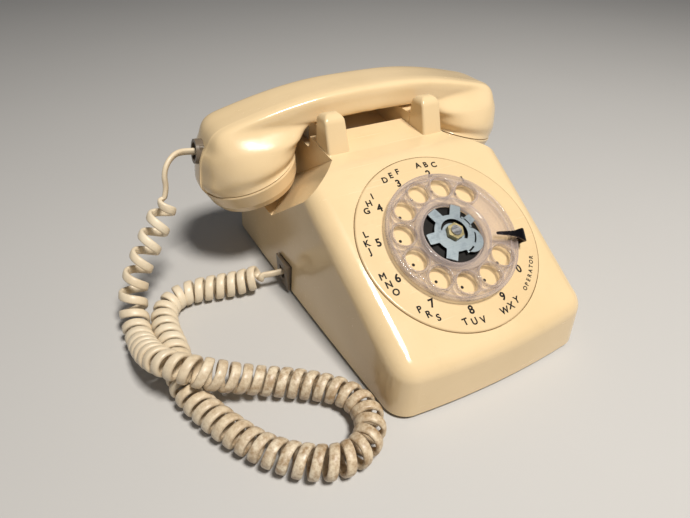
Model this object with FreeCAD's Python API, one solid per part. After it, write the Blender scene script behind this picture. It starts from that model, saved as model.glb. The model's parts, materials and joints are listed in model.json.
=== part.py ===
"""Rotary desk telephone: every piece as its own solid, in millimetres, +Z up, the front facing -Y."""
import FreeCAD
import Part
import math
import os

V = FreeCAD.Vector

# Housing
WALL = 3.0                      # moulding thickness
RIM_Z = 2.5                     # lower rim above the table
HALF_FRONT = 64.0               # half width near the front, at the rim
HALF_MID = 72.3                 # half width at mid depth
HALF_REAR = 78.5                # half width near the rear
Y_FRONT = -100.5                # front of the rim on the centre line
Y_REAR = 116.0                  # rear of the rim on the centre line
DRAFT_TOP = 8.0                 # how far the sides lean in by DRAFT_Z
DRAFT_Z = 112.0
CORNER_R = 13.0                 # upright corners
FACE_EDGE_R = 11.0              # soft edges round the sloping face
FACE_ANGLE = 28.2               # slope of the face, degrees
DIAL_Y = -42.6                  # centre of the dial on the face
DIAL_Z = 59.4
BEND_Y = 8.0                    # where the face turns into the plateau
BEND_R = 20.0                   # radius of that turn
PLATEAU_END_Y = 51.0
PLATEAU_Z = 86.2
PLATEAU_END_Z = 88.0
TROUGH_Z = 80.0                 # hand hold floor under the handle
TROUGH_END_Y = 86.0
SADDLE_Z = 94.6                 # the handle rests just above this

# Cradle ears
EAR_IN = 26.2
EAR_OUT = 40.0
EAR_TOP_Z = 107.0
EAR_CORNER_R = 4.6
REAR_EAR_TOP_Z = 102.5

# Handset, which lies along X
HS_X = 2.25                     # it lies a little to the right in its cradle
HS_Y = 68.0                     # its centre line
CUP_X = 79.55                   # centre of each cup's mouth, from the middle of the handset
CUP_Z = 68.3
CUP_R = 31.0
CUP_TILT = 15.6                 # the mouths face down and inward, degrees
CAP_DEPTH = 17.0

# Dial, in the frame of the face: x to the right, y up the slope, z out of the face
PLATE_R = 53.6
PLATE_TOP = 0.8
WHEEL_R = 38.1
WHEEL_Z0 = 3.6
WHEEL_Z1 = 6.0
HOLE_R = 6.3
HOLE_CIRCLE = 28.9
HOLE_FIRST = 45.5               # angle of the hole for 1, degrees
STOP_ANGLE = -16.0
SHAFT_R = 3.0
GEAR_TEETH = 84
PINION_TEETH = 14
GEAR_MODULE = 0.5
GEAR_Z = -18.0
GEAR_THICK = 1.6

# Inside
PLATE_Z0 = 5.0                  # base plate underside
PLATE_Z1 = 6.4
FEET = [(-49, -84.5), (49, -84.5), (-56, 99), (56, 99)]
HOUSING_SCREWS = [(-53, -70), (53, -70), (-63, 82), (63, 82)]
LEVER_PIVOT = (28.0, 64.0)      # y, z of the hookswitch pivot
PLUNGER_X = 33.0
PLUNGER_Z0 = 64.0
VOLUME_Y = 10.0                 # thumb wheel of the ringer

# Cord
COIL_R = 7.75
COIL_ROUTE = [
    (-88.0, 27.0, 12.3), (-102.0, 30.5, 8.6), (-115.5, 33.5, 8.1), (-128.0, 36.2, 8.0), (-138.5, 35.8, 8.0),
    (-146.8, 30.0, 8.0), (-150.8, 20.5, 8.0), (-151.3, 9.0, 8.0), (-149.8, -6.0, 8.0), (-150.6, -21.0, 8.0),
    (-150.8, -36.0, 8.0), (-145.0, -52.0, 8.0), (-136.5, -69.0, 8.0), (-126.5, -84.5, 8.0), (-113.5, -97.5, 8.0),
    (-99.0, -105.5, 8.0), (-86.5, -105.0, 8.0), (-77.0, -97.5, 8.0), (-74.2, -86.0, 8.0), (-78.2, -75.0, 8.0),
    (-86.5, -66.5, 8.0), (-98.0, -58.0, 8.1), (-111.0, -50.5, 8.8), (-123.0, -46.0, 12.5), (-134.0, -43.5, 18.5),
    (-144.5, -40.0, 24.0), (-156.5, -28.5, 24.0), (-162.0, -14.0, 17.5), (-164.8, 1.0, 10.8), (-166.0, 12.5, 8.4),
    (-166.0, 22.5, 9.3), (-165.0, 30.5, 14.0), (-162.3, 36.5, 21.5), (-157.5, 40.8, 29.8), (-150.0, 45.0, 39.5),
    (-142.0, 49.5, 48.6), (-135.0, 53.0, 57.0), (-131.5, 54.8, 65.5),
]
STRAND_R = 1.6

BOX = 600.0                     # big enough to cut the whole object
ORIGIN = (-2.25, -7.75, 0.0)   # moves the middle of the telephone, cord apart, to the origin


def box(x0, x1, y0, y1, z0, z1):
    return Part.makeBox(x1 - x0, y1 - y0, z1 - z0, V(x0, y0, z0))


def rod(radius, p0, p1):
    """A cylinder from point to point."""
    a = V(*p0)
    d = V(*p1) - a
    return Part.makeCylinder(radius, d.Length, a, d)


def tube(r_out, r_in, p0, p1):
    return rod(r_out, p0, p1).cut(rod(r_in, p0, p1))


def fuse(shapes):
    out = shapes[0]
    for s in shapes[1:]:
        out = out.fuse(s)
    return out.removeSplitter()


def mirror_x(shape):
    return shape.mirror(V(0, 0, 0), V(1, 0, 0))


def prism(points, direction):
    """Extrude a closed flat polygon."""
    wire = Part.makePolygon([V(*p) for p in points + [points[0]]])
    return Part.Face(wire).extrude(V(*direction))


def rounded(points, radii):
    """A flat face with a radius at each corner, 0 for a sharp one."""
    pts = [V(*p) for p in points]
    corners = []
    for i, r in enumerate(radii):
        b = pts[i]
        d0 = (pts[i - 1] - b).normalize()
        d1 = (pts[(i + 1) % len(pts)] - b).normalize()
        half = d0.getAngle(d1) / 2
        cut = r / math.tan(half)
        mid = b + (d0 + d1).normalize() * (r / math.sin(half) - r)
        corners.append((b + d0 * cut, mid, b + d1 * cut))
    edges = []
    for i, (t0, mid, t1) in enumerate(corners):
        if radii[i]:
            edges.append(Part.Arc(t0, mid, t1).toShape())
        edges.append(Part.makeLine(t1, corners[(i + 1) % len(pts)][0]))
    return Part.Face(Part.Wire(edges))


def half_space(point, normal):
    """A very large box on the side of a plane that the normal points to."""
    slab = Part.makeBox(BOX, BOX, BOX, V(-BOX / 2, -BOX / 2, 0))
    turn = FreeCAD.Rotation(V(0, 0, 1), V(*normal))
    slab.Placement = FreeCAD.Placement(V(*point), turn)
    return slab


def placed(shape, position, rotation):
    """A copy turned and moved on top of any move the shape already has."""
    moved = shape.copy()
    moved.Placement = FreeCAD.Placement(position, rotation).multiply(shape.Placement)
    return moved


def on_face(shape):
    """Move a shape from the dial's own frame onto the sloping face."""
    return placed(shape, V(0, DIAL_Y, DIAL_Z), FreeCAD.Rotation(V(1, 0, 0), FACE_ANGLE))


def polar(radius, degrees):
    a = math.radians(degrees)
    return radius * math.cos(a), radius * math.sin(a)


def revolve(points, centre=(0, 0, 0), axis=(0, 0, 1)):
    """Turn a closed (radius, height) profile about an axis through centre."""
    wire = Part.makePolygon([V(r, 0, z) for r, z in points + [points[0]]])
    solid = Part.Face(wire).revolve(V(0, 0, 0), V(0, 0, 1), 360)
    solid.Placement = FreeCAD.Placement(V(*centre), FreeCAD.Rotation(V(0, 0, 1), V(*axis)))
    return solid


def fillet(shape, radius, wanted):
    """Round the edges that the test picks, leaving the shape alone if there are none."""
    edges = [e for e in shape.Edges if wanted(e)]
    return shape.makeFillet(radius, edges) if edges else shape


# ---------------------------------------------------------------- housing

def outline(z, inset):
    """Plan outline at a height: bowed front, flanks that spread to the rear, bowed rear."""
    lean = DRAFT_TOP * (z - RIM_Z) / (DRAFT_Z - RIM_Z)
    d = inset + lean
    fl, fr = V(-HALF_FRONT + 1.2 + d, Y_FRONT + 3.8 + d, z), V(HALF_FRONT - 1.2 - d, Y_FRONT + 3.8 + d, z)
    rl, rr = V(-HALF_REAR + d, Y_REAR - 4.0 - d, z), V(HALF_REAR - d, Y_REAR - 4.0 - d, z)
    edges = [
        Part.Arc(fl, V(0, Y_FRONT + d, z), fr).toShape(),
        Part.Arc(fr, V(HALF_MID - d, 13, z), rr).toShape(),
        Part.Arc(rr, V(0, Y_REAR - d, z), rl).toShape(),
        Part.Arc(rl, V(-HALF_MID + d, 13, z), fl).toShape(),
    ]
    return Part.Wire(edges)


def face_z(y):
    return DIAL_Z + (y - DIAL_Y) * math.tan(math.radians(FACE_ANGLE))


def top_profile(drop):
    """Side outline of the upper surface, lowered by a wall thickness for the inside."""
    slope_drop = drop / math.cos(math.radians(FACE_ANGLE))
    z0 = RIM_Z if drop == 0 else -10
    return [
        (-BOX / 4, -125, z0),
        (-BOX / 4, -125, face_z(-125) - slope_drop),
        (-BOX / 4, BEND_Y, face_z(BEND_Y) - slope_drop),
        (-BOX / 4, 24, PLATEAU_Z - drop),
        (-BOX / 4, PLATEAU_END_Y - drop * 0.8, PLATEAU_END_Z - drop),
        (-BOX / 4, PLATEAU_END_Y + 2 - drop * 0.8, TROUGH_Z - drop),
        (-BOX / 4, TROUGH_END_Y + drop * 0.8, TROUGH_Z - drop),
        (-BOX / 4, TROUGH_END_Y + 2 + drop * 0.8, PLATEAU_END_Z - drop),
        (-BOX / 4, 135, PLATEAU_END_Z - 2 - drop),
        (-BOX / 4, 135, z0),
    ]


def scoop(grow):
    """The space beside the cradle that a cap hangs in, left side."""
    front_n = V(-0.596, 0.435, 0.676)
    rear_n = V(-0.207, -0.829, 0.518)
    front_p = V(-65.4, -4.0, 79.8) - front_n * grow
    rear_p = V(-40.0, 112.0, 86.0) - rear_n * grow
    space = half_space(tuple(front_p), tuple(front_n)).common(half_space(tuple(rear_p), tuple(rear_n)))
    limit = box(-BOX / 4, -EAR_OUT - 0.6 + grow, -60, 200, 43.0 - grow, 200)
    return space.common(limit)


def body(inset, drop):
    z0 = RIM_Z if inset == 0 else -10
    sides = Part.makeLoft([outline(z0, inset), outline(DRAFT_Z, inset)], True, True)
    sides = fillet(sides, CORNER_R - inset, lambda e: abs(e.BoundBox.ZLength - (DRAFT_Z - z0)) < 1)
    top = prism(top_profile(drop), (BOX / 2, 0, 0))
    top = fillet(top, BEND_R - drop, lambda e: abs(e.CenterOfMass.y - BEND_Y) < 2 and e.BoundBox.YLength < 1)
    return sides.common(top)


def soften_face(shape, drop):
    """Round the edges where the sloping face meets the flanks and the front."""
    slope_drop = drop / math.cos(math.radians(FACE_ANGLE))

    def wanted(e):
        c = e.CenterOfMass
        near = abs(c.z - face_z(c.y) + slope_drop) < 1.5
        return near and c.y < BEND_Y - 6 and abs(c.x) < 100
    return fillet(shape, FACE_EDGE_R - drop, wanted)


def ear(sign, top):
    """A front ear: round-topped from the side, a slightly tapering tongue with round corners from the front."""
    side = rounded([(0, 24.4, 78), (0, 24.4, 84), (0, 31.85, top), (0, 43.6, top), (0, 43.6, 78)], [0, 0, 6.6, 6.6, 0])
    front = rounded([(EAR_IN - 0.4, 0, 78), (EAR_IN + 0.5, 0, top + 0.05), (EAR_OUT - 0.4, 0, top + 0.05),
                     (EAR_OUT + 0.2, 0, 78)], [0, EAR_CORNER_R, EAR_CORNER_R, 0])
    slab = side.extrude(V(60, 0, 0)).common(front.extrude(V(0, 60, 0))).removeSplitter()

    def wanted(e):
        crease = e.BoundBox.ZLength < 0.01 and e.CenterOfMass.z < 100
        return e.CenterOfMass.z > 79 and not crease
    slab = fillet(slab, 1.6, wanted)
    return slab if sign > 0 else mirror_x(slab)


def rear_ear(sign):
    pts = [(0, 93, 78), (0, 93, REAR_EAR_TOP_Z - 5), (0, 97, REAR_EAR_TOP_Z), (0, 103, REAR_EAR_TOP_Z),
           (0, 107, REAR_EAR_TOP_Z - 6), (0, 108.6, 78)]
    slab = prism(pts, (EAR_OUT - EAR_IN, 0, 0))
    slab.translate(V(EAR_IN, 0, 0))
    slab = fillet(slab, 1.5, lambda e: e.CenterOfMass.z > 86 and e.BoundBox.XLength < 1)
    return slab if sign > 0 else mirror_x(slab)


def saddle(sign):
    """Raised seat between a front and a rear ear, with the plunger's well through it."""
    slab = box(EAR_IN, EAR_OUT - 4, 43, 93.5, 77, SADDLE_Z)
    dip = rod(52, (0, HS_Y, SADDLE_Z + 51), (60, HS_Y, SADDLE_Z + 51))
    return slab.cut(dip) if sign > 0 else mirror_x(slab.cut(dip))


def plunger_well(sign):
    return box(sign * PLUNGER_X - 3.6, sign * PLUNGER_X + 3.6, HS_Y - 4.6, HS_Y + 4.6, 60, 110)


def housing():
    outer = soften_face(body(0, 0), 0)
    outer = outer.cut(scoop(0)).cut(mirror_x(scoop(0)))
    for s in (1, -1):
        outer = outer.fuse(ear(s, EAR_TOP_Z)).fuse(rear_ear(s)).fuse(saddle(s))
    inner = soften_face(body(WALL, WALL), WALL).cut(scoop(WALL)).cut(mirror_x(scoop(WALL)))
    shell = outer.cut(inner)
    seat = on_face(rod(PLATE_R + 0.4, (0, 0, -2.2), (0, 0, 40)))
    hole = on_face(rod(49.5, (0, 0, -14), (0, 0, 40)))
    shell = shell.cut(seat).cut(hole)
    within = soften_face(body(WALL / 2, WALL / 2), WALL / 2)
    for x, y in HOUSING_SCREWS:
        shell = shell.fuse(boss(x, y).common(within))
    for s in (1, -1):
        shell = shell.cut(plunger_well(s))
    shell = shell.cut(jack_window()).cut(line_window())
    return shell.removeSplitter()


def boss(x, y):
    """Screw post from the roof of the moulding down to the base plate."""
    top = 41.5 if y > 0 else face_z(y)
    post = rod(4.5, (x, y, PLATE_Z1), (x, y, top))
    return post.cut(rod(1.6, (x, y, PLATE_Z1 - 1), (x, y, PLATE_Z1 + 14)))


# ---------------------------------------------------------------- jacks and plugs

JACK_Y = 24.3
LINE_X = 51.0
JACK_HALF = 8.9


def jack_window():
    return box(-90, -60, JACK_Y - 9.1, JACK_Y + 9.1, 0, 21.6)


def line_window():
    return box(LINE_X - 9.2, LINE_X + 9.2, 100, 130, 0, 21.6)


def side_jack():
    """Modular jack set in the left flank: a frame with a socket that opens outward."""
    frame = box(-74.7, -73.3, JACK_Y - JACK_HALF, JACK_Y + JACK_HALF, 2.8, 21.4)
    block = box(-73.3, -56.0, JACK_Y - 7.6, JACK_Y + 7.6, PLATE_Z1, 20.2)
    socket = box(-80, -60.5, JACK_Y - 3.9, JACK_Y + 3.9, 9.6, 16.2)
    latch = box(-80, -60.5, JACK_Y - 1.8, JACK_Y + 1.8, 7.6, 10)
    return fuse([frame, block]).cut(socket).cut(latch)


def line_jack():
    """Modular jack for the line cord, set in the rear wall."""
    frame = box(LINE_X - 9, LINE_X + 9, 112.4, 115.4, 2.8, 21.4)
    block = box(LINE_X - 7.8, LINE_X + 7.8, 97.5, 112.4, PLATE_Z1, 19.8)
    socket = box(LINE_X - 4.9, LINE_X + 4.9, 102.5, 125, 9.2, 16.2)
    return fuse([frame, block]).cut(socket)


def plug(width, height, length):
    """A clear four-way plug lying along +X, its cord end at the origin."""
    shell = box(0, length, -width / 2, width / 2, -height / 2, height / 2)
    clip = prism([(1.0, -1.5, -height / 2), (1.0, -1.5, -height / 2 - 1.6), (3.0, -1.5, -height / 2 - 1.6),
                  (length - 1, -1.5, -height / 2)], (0, 3.0, 0))
    return fuse([shell, clip])


def base_cord_plug():
    p = plug(7.6, 6.3, 11.8)
    p.translate(V(-73.0, JACK_Y, 12.9))
    return p


HS_JACK = V(-107.2, HS_Y, 84.6)
HS_JACK_DIR = V(-0.975, 0, 0.222)


def to_handset_end(shape):
    """Turn a shape made along -X at the origin so that it leaves the end of the cup."""
    return placed(shape, HS_JACK, FreeCAD.Rotation(V(-1, 0, 0), HS_JACK_DIR))


def handset_jack():
    ring = tube(7.2, 5.4, (-0.9, 0, 0), (6, 0, 0))
    block = box(1.0, 14.5, -6.4, 6.4, -5.6, 5.6).common(rod(8.2, (0, 0, 0), (20, 0, 0)))
    socket = box(-5, 13.2, -3.9, 3.9, -3.3, 3.3)
    latch = box(-5, 12.5, -1.8, 1.8, -5.2, -3)
    return to_handset_end(fuse([ring, block]).cut(socket).cut(latch))


def handset_cord_plug():
    return to_handset_end(moved_copy(plug(7.6, 6.3, 11.8), 1.0, 0, 0))


def moved_copy(shape, x, y, z):
    out = shape.copy()
    out.translate(V(x, y, z))
    return out


# ---------------------------------------------------------------- handset

# (outer x, outer z, inner x, inner z, half width, squareness) from the left mouth to the middle
SECTIONS = [
    (-109.4, 59.95, -49.7, 76.65, 31.0, 2.0),
    (-111.55, 69.5, -48.75, 80.0, 31.2, 2.05),
    (-110.05, 78.5, -47.55, 83.6, 30.2, 2.2),
    (-106.85, 86.5, -46.15, 87.4, 27.4, 2.7),
    (-103.05, 93.0, -44.45, 90.8, 23.2, 3.8),
    (-99.25, 97.6, -42.25, 93.4, 19.6, 5.5),
    (-93.75, 100.4, -38.75, 95.1, 18.0, 6.5),
    (-80.2, 103.9, -31.7, 95.9, 17.9, 6.5),
    (-61.5, 108.0, -22.5, 95.9, 17.85, 6.5),
    (-38.5, 111.5, -12.5, 95.9, 17.8, 6.5),
    (0.0, 113.0, 0.0, 95.9, 17.8, 6.5),
]


def section_wire(sec, count=12):
    """A closed curve between an outer and an inner point: round at the mouth, squarer along the handle."""
    ox, oz, ix, iz, half, power = sec
    mid = V((ox + ix) / 2, HS_Y, (oz + iz) / 2)
    a = V((ox - ix) / 2, 0, (oz - iz) / 2)
    sides = []
    for sign in (1, -1):
        pts = []
        for i in range(count + 1):
            t = math.pi * i / count
            u = math.copysign(abs(math.cos(t)) ** (2 / power), math.cos(t))
            w = 0.0 if i in (0, count) else math.sin(t) ** (2 / power)
            pts.append(mid + a * u * sign + V(0, half * w * sign, 0))
        curve = Part.BSplineCurve()
        curve.interpolate(Points=pts, InitialTangent=V(0, sign, 0), FinalTangent=V(0, -sign, 0))
        sides.append(curve.toShape())
    return Part.Wire(sides)


def handset_outer(shrink=0.0):
    """Skin of the handset, both halves, as one loft from mouth to mouth."""
    secs = []
    for ox, oz, ix, iz, half, power in SECTIONS:
        d = V(ox - ix, 0, oz - iz)
        n = d * (1 / d.Length)
        secs.append((ox - n.x * shrink, oz - n.z * shrink, ix + n.x * shrink, iz + n.z * shrink, half - shrink, power))
    for ox, oz, ix, iz, half, power in reversed(secs[:-1]):
        secs.append((-ox, oz, -ix, iz, half, power))
    return moved_copy(Part.makeLoft([section_wire(s) for s in secs], True, False), HS_X, 0, 0)


def mouth_frame(sign):
    """Centre and downward direction of a cup's mouth."""
    t = math.radians(CUP_TILT)
    return V(HS_X + sign * CUP_X, HS_Y, CUP_Z), V(-sign * math.sin(t), 0, -math.cos(t))


def cup_bore(sign, radius, depth):
    c, down = mouth_frame(sign)
    start = c + down * 1.0
    return Part.makeCylinder(radius, depth + 1.0, start, down * -1)


def handset_shell():
    skin = handset_outer()
    shell = skin
    for sign in (1, -1):
        shell = shell.cut(cup_bore(sign, 27.6, 9.0)).cut(cup_bore(sign, 25.0, 12.6))
    pocket = to_handset_end(rod(7.4, (-6, 0, 0), (6.2, 0, 0)))
    deep = to_handset_end(box(-6, 16, -6.6, 6.6, -5.8, 5.8))
    return shell.cut(pocket).cut(deep)


def cap(sign, openings):
    """Screw cap: a threaded collar inside the cup and a tapering, gently domed cover."""
    c, down = mouth_frame(sign)
    outer = [(31.2, 0.7), (31.4, 1.6), (29.6, 10.0), (27.4, 14.5), (22.0, 16.4), (0, CAP_DEPTH),
             (0, CAP_DEPTH - 2.6), (21.5, 13.8), (25.0, 12.2), (26.8, 8.5), (25.4, 0.7), (25.4, -7.0), (27.3, -7.0),
             (27.3, 0.7)]
    shape = revolve(outer)
    for radius, count in openings:
        for i in range(count):
            x, y = polar(radius, 360.0 * i / count)
            shape = shape.cut(rod(1.1, (x, y, 8), (x, y, 22)))
    shape.Placement = FreeCAD.Placement(c, FreeCAD.Rotation(V(0, 0, 1), down))
    return shape


def capsule(sign, radius, z0, z1):
    c, down = mouth_frame(sign)
    shape = revolve([(0, z0), (radius, z0), (radius, z1 - 2), (radius - 3, z1), (0, z1)])
    shape.Placement = FreeCAD.Placement(c, FreeCAD.Rotation(V(0, 0, 1), down))
    return shape


def transmitter_cup():
    """Plastic cup that holds the transmitter and carries its two contact springs."""
    c, down = mouth_frame(-1)
    shape = revolve([(0, -11), (24.6, -11), (24.6, -2), (23.0, -2), (23.0, -9.4), (0, -9.4)])
    shape.Placement = FreeCAD.Placement(c, FreeCAD.Rotation(V(0, 0, 1), down))
    return shape


# ---------------------------------------------------------------- dial

def number_plate():
    disc = rod(PLATE_R, (0, 0, -2.0), (0, 0, PLATE_TOP))
    disc = disc.makeFillet(1.0, [e for e in disc.Edges if abs(e.BoundBox.ZMax - PLATE_TOP) < 0.01 and e.Length > 100])
    disc = disc.cut(rod(5.2, (0, 0, -5), (0, 0, 5)))
    return on_face(disc)


def finger_stop():
    """Hook of sheet steel that reaches over the wheel's rim."""
    foot = box(39.6, 46.0, -4.6, 4.6, PLATE_TOP, 1.8)
    stem = box(39.6, 41.2, -3.2, 3.2, PLATE_TOP, 9.4)
    arm = prism([(41.2, -3.2, 8.0), (41.2, 3.2, 8.0), (31.0, 1.7, 8.0), (25.6, 1.2, 8.0), (25.6, -0.9, 8.0),
                 (31.0, -1.3, 8.0)], (0, 0, 1.4))
    hook = fuse([foot, stem, arm])
    hook.rotate(V(0, 0, 0), V(0, 0, 1), STOP_ANGLE)
    return on_face(hook)


def fingerwheel():
    """Clear wheel: rimmed finger holes, a raised outer rim and a raised hub ring."""
    parts = [
        rod(WHEEL_R, (0, 0, WHEEL_Z0), (0, 0, WHEEL_Z1)),
        tube(WHEEL_R, WHEEL_R - 1.3, (0, 0, WHEEL_Z0 - 0.8), (0, 0, WHEEL_Z1 + 0.5)),
        tube(20.4, 18.6, (0, 0, WHEEL_Z1), (0, 0, WHEEL_Z1 + 1.6)),
    ]
    wheel = fuse(parts)
    wheel = wheel.cut(rod(18.6, (0, 0, WHEEL_Z1 - 1.2), (0, 0, 20))).cut(rod(4.0, (0, 0, 0), (0, 0, 20)))
    for i in range(10):
        x, y = polar(HOLE_CIRCLE, HOLE_FIRST + 30 * i)
        wheel = wheel.fuse(rod(HOLE_R + 0.95, (x, y, WHEEL_Z0), (x, y, WHEEL_Z1 + 0.7)))
    for i in range(10):
        x, y = polar(HOLE_CIRCLE, HOLE_FIRST + 30 * i)
        wheel = wheel.cut(rod(HOLE_R, (x, y, 0), (x, y, 20)))
    return on_face(wheel.removeSplitter())


def clamp_plate():
    """Stamped plate with six arms that clamps the wheel to the shaft."""
    z0, z1 = WHEEL_Z1 - 1.2, WHEEL_Z1 - 0.2
    plate = rod(11.6, (0, 0, z0), (0, 0, z1))
    for i, reach in enumerate((17.6, 15.0, 17.6, 15.0, 17.6, 15.0)):
        arm = box(8, reach, -3.0, 3.0, z0, z1)
        arm.rotate(V(0, 0, 0), V(0, 0, 1), 12 + 60 * i)
        plate = plate.fuse(arm)
    plate = plate.removeSplitter()
    crescent = tube(9.2, 6.6, (0, 0, z0 - 1), (0, 0, z1 + 1)).common(box(-20, 1.5, -20, 20, 0, 20))
    for angle in (75, 195, 315):
        slot = tube(14.4, 12.8, (0, 0, z0 - 1), (0, 0, z1 + 1))
        plate = plate.cut(slot.common(wedge(angle, 14)))
    crescent.rotate(V(0, 0, 0), V(0, 0, 1), 200)
    return on_face(plate.cut(crescent).cut(rod(SHAFT_R, (0, 0, 0), (0, 0, 20))))


def wedge(angle, half):
    a, b = polar(40, angle - half), polar(40, angle + half)
    return prism([(0, 0, 0), (a[0], a[1], 0), (b[0], b[1], 0)], (0, 0, 20))


def hexagon(across, z0, z1):
    r = across / math.sqrt(3)
    pts = [(r * math.cos(math.radians(60 * i + 12)), r * math.sin(math.radians(60 * i + 12)), z0) for i in range(6)]
    return prism(pts, (0, 0, z1 - z0))


def center_nut():
    nut = hexagon(8.6, WHEEL_Z1 - 0.2, WHEEL_Z1 + 2.6)
    return on_face(nut.cut(rod(SHAFT_R, (0, 0, 0), (0, 0, 20))))


def main_shaft():
    """Shaft with the shoulder that the wheel sits on."""
    shaft = rod(SHAFT_R, (0, 0, -24), (0, 0, WHEEL_Z1 + 3.4))
    shoulder = rod(4.9, (0, 0, 1.2), (0, 0, WHEEL_Z0))
    pilot = rod(3.98, (0, 0, 1.2), (0, 0, WHEEL_Z1 - 1.2))
    return on_face(fuse([shaft, shoulder, pilot]))


def gear(teeth, z0, z1, bore):
    """Plain spur gear: trapezoid teeth on a disc, thinned a little for running clearance."""
    pitch = GEAR_MODULE * teeth / 2
    root = pitch - 1.25 * GEAR_MODULE
    tip = pitch + 0.85 * GEAR_MODULE
    pts = []
    for i in range(teeth):
        a = 360.0 * i / teeth
        w = 90.0 / teeth
        for r, da in ((root, -1.25 * w), (pitch, -0.85 * w), (tip, -0.4 * w), (tip, 0.4 * w), (pitch, 0.85 * w),
                      (root, 1.25 * w)):
            x, y = polar(r, a + da)
            pts.append((x, y, z0))
    return prism(pts, (0, 0, z1 - z0)).cut(rod(bore, (0, 0, z0 - 1), (0, 0, z1 + 1)))


GEAR_CENTRES = GEAR_MODULE * (GEAR_TEETH + PINION_TEETH) / 2
GOV_ANGLE = 90.0                # the governor sits up the slope from the main shaft


def main_gear():
    g = gear(GEAR_TEETH, GEAR_Z, GEAR_Z + GEAR_THICK, SHAFT_R)
    g.rotate(V(0, 0, 0), V(0, 0, 1), GOV_ANGLE + 180.0 / GEAR_TEETH)
    return on_face(g)


def at_governor(shape):
    x, y = polar(GEAR_CENTRES, GOV_ANGLE)
    moved = shape.copy()
    moved.translate(V(x, y, 0))
    return on_face(moved)


def governor_pinion():
    g = gear(PINION_TEETH, GEAR_Z - 0.8, GEAR_Z + GEAR_THICK + 0.8, 1.2)
    g.rotate(V(0, 0, 0), V(0, 0, 1), GOV_ANGLE + 180.0)
    return at_governor(g)


def governor_shaft():
    return at_governor(rod(1.2, (0, 0, -33.5), (0, 0, -12.2)))


def governor_weights():
    """Two flyweights on a cross bar, near the governor cup's wall."""
    bar = box(-6.0, 6.0, -2.2, 2.2, -28.0, -26.4)
    left = tube(7.6, 5.2, (0, 0, -29.5), (0, 0, -24.5)).common(box(-9, -2.6, -6, 6, -40, 0))
    both = fuse([bar, left, mirror_x(left)])
    return at_governor(both.cut(rod(1.2, (0, 0, -40), (0, 0, 0))))


def governor_cup():
    cup = revolve([(8.3, -30.5), (8.3, -23.5), (9.3, -23.5), (9.3, -31.7), (1.26, -31.7), (1.26, -30.5)])
    return at_governor(cup)


def dial_frame():
    """Cast dish behind the number plate with the bearings of the main and governor shafts."""
    x, y = polar(GEAR_CENTRES, GOV_ANGLE)
    dish = tube(48.6, 46.6, (0, 0, -12.0), (0, 0, -2.0))
    floor = rod(48.6, (0, 0, -13.6), (0, 0, -12.0))
    hub = rod(6.0, (0, 0, -12.0), (0, 0, -2.0))
    frame = fuse([dish, floor, hub])
    frame = frame.cut(rod(SHAFT_R + 0.06, (0, 0, -20), (0, 0, 5))).cut(rod(1.26, (x, y, -20), (x, y, -1)))
    lower = box(-12, 12, y - 10.5, y + 10.5, -33.2, -31.7).cut(rod(1.26, (x, y, -40), (x, y, -20)))
    posts = [rod(1.8, (sx, y + 9.0, -33.2), (sx, y + 9.0, -13.6)) for sx in (-10.0, 10.0)]
    return on_face(fuse([frame, lower] + posts).cut(rod(1.26, (x, y, -40), (x, y, -20))))


def mainspring():
    """Clock spring round the hub, drawn as its coiled drum."""
    return on_face(tube(13.5, 6.06, (0, 0, -11.9), (0, 0, -6.5)))


def pulse_contacts():
    """Stack of leaf springs with spacers, on the back of the dial frame."""
    leaves = [box(-30.0, -14.0, -16.0 - 2.2 * i, -15.6 - 2.2 * i, -21.6, -18.2) for i in range(4)]
    block = box(-34.0, -28.0, -24.0, -14.0, -24.0, -13.6)
    return on_face(fuse([block] + leaves))


def dial_brackets():
    """Two sheet brackets that hold the dial frame up from the base plate."""
    out = []
    for s in (1, -1):
        x0, x1 = sorted((s * 48.8, s * 50.6))
        web = box(x0, x1, -56, -34, PLATE_Z1, 60)
        below = on_face(box(-80, 80, -80, 80, -13.6, 40))
        foot_x = sorted((s * 48.8, s * 58.5))
        foot = box(foot_x[0], foot_x[1], -56, -34, PLATE_Z1, PLATE_Z1 + 1.8)
        out.append(web.cut(below).fuse(foot))
        tab = on_face(box(*sorted((s * 38.0, s * 50.6)), -9.0, 9.0, -15.2, -13.6))
        out[-1] = out[-1].fuse(tab)
    return out


def machine_screw(x, y, z, r_head, r_body, length):
    """Pan head screw that points up from below."""
    return rod(r_head, (x, y, z - 1.6), (x, y, z)).fuse(rod(r_body, (x, y, z), (x, y, z + length)))


def dial_screws():
    out = []
    for s in (1, -1):
        out.append(rod(2.6, (s * 54.5, -45, PLATE_Z1 + 1.8), (s * 54.5, -45, PLATE_Z1 + 3.4)))
    return out


# ---------------------------------------------------------------- base and its fittings

def base_plate():
    sheet = Part.Face(outline(PLATE_Z0, WALL + 0.6)).extrude(V(0, 0, PLATE_Z1 - PLATE_Z0))
    sheet = fillet(sheet, CORNER_R - WALL, lambda e: abs(e.BoundBox.ZLength - 1.4) < 0.01 and e.Length < 2)
    for x, y in HOUSING_SCREWS:
        sheet = sheet.cut(rod(2.2, (x, y, 0), (x, y, 20)))
    return sheet.cut(box(49.5, 54.5, VOLUME_Y - 7, VOLUME_Y + 7, 0, 20))


def rubber_feet():
    return [rod(7.5, (x, y, 0), (x, y, PLATE_Z0)) for x, y in FEET]


def housing_screws():
    return [machine_screw(x, y, PLATE_Z0, 3.4, 1.6, 13) for x, y in HOUSING_SCREWS]


GONG_Y = 88.5
GONG_LEFT_X = -32.0
GONG_RIGHT_X = 22.0


def gong(x, radius):
    """Shallow brass cup, mouth down, on its post."""
    dome = revolve([(radius, 12), (radius, 22), (radius - 4, 27), (2.1, 27), (2.1, 25.4), (radius - 4.8, 25.4),
                    (radius - 1.6, 21.2), (radius - 1.6, 12)])
    dome.translate(V(x, GONG_Y, 0))
    return dome


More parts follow.
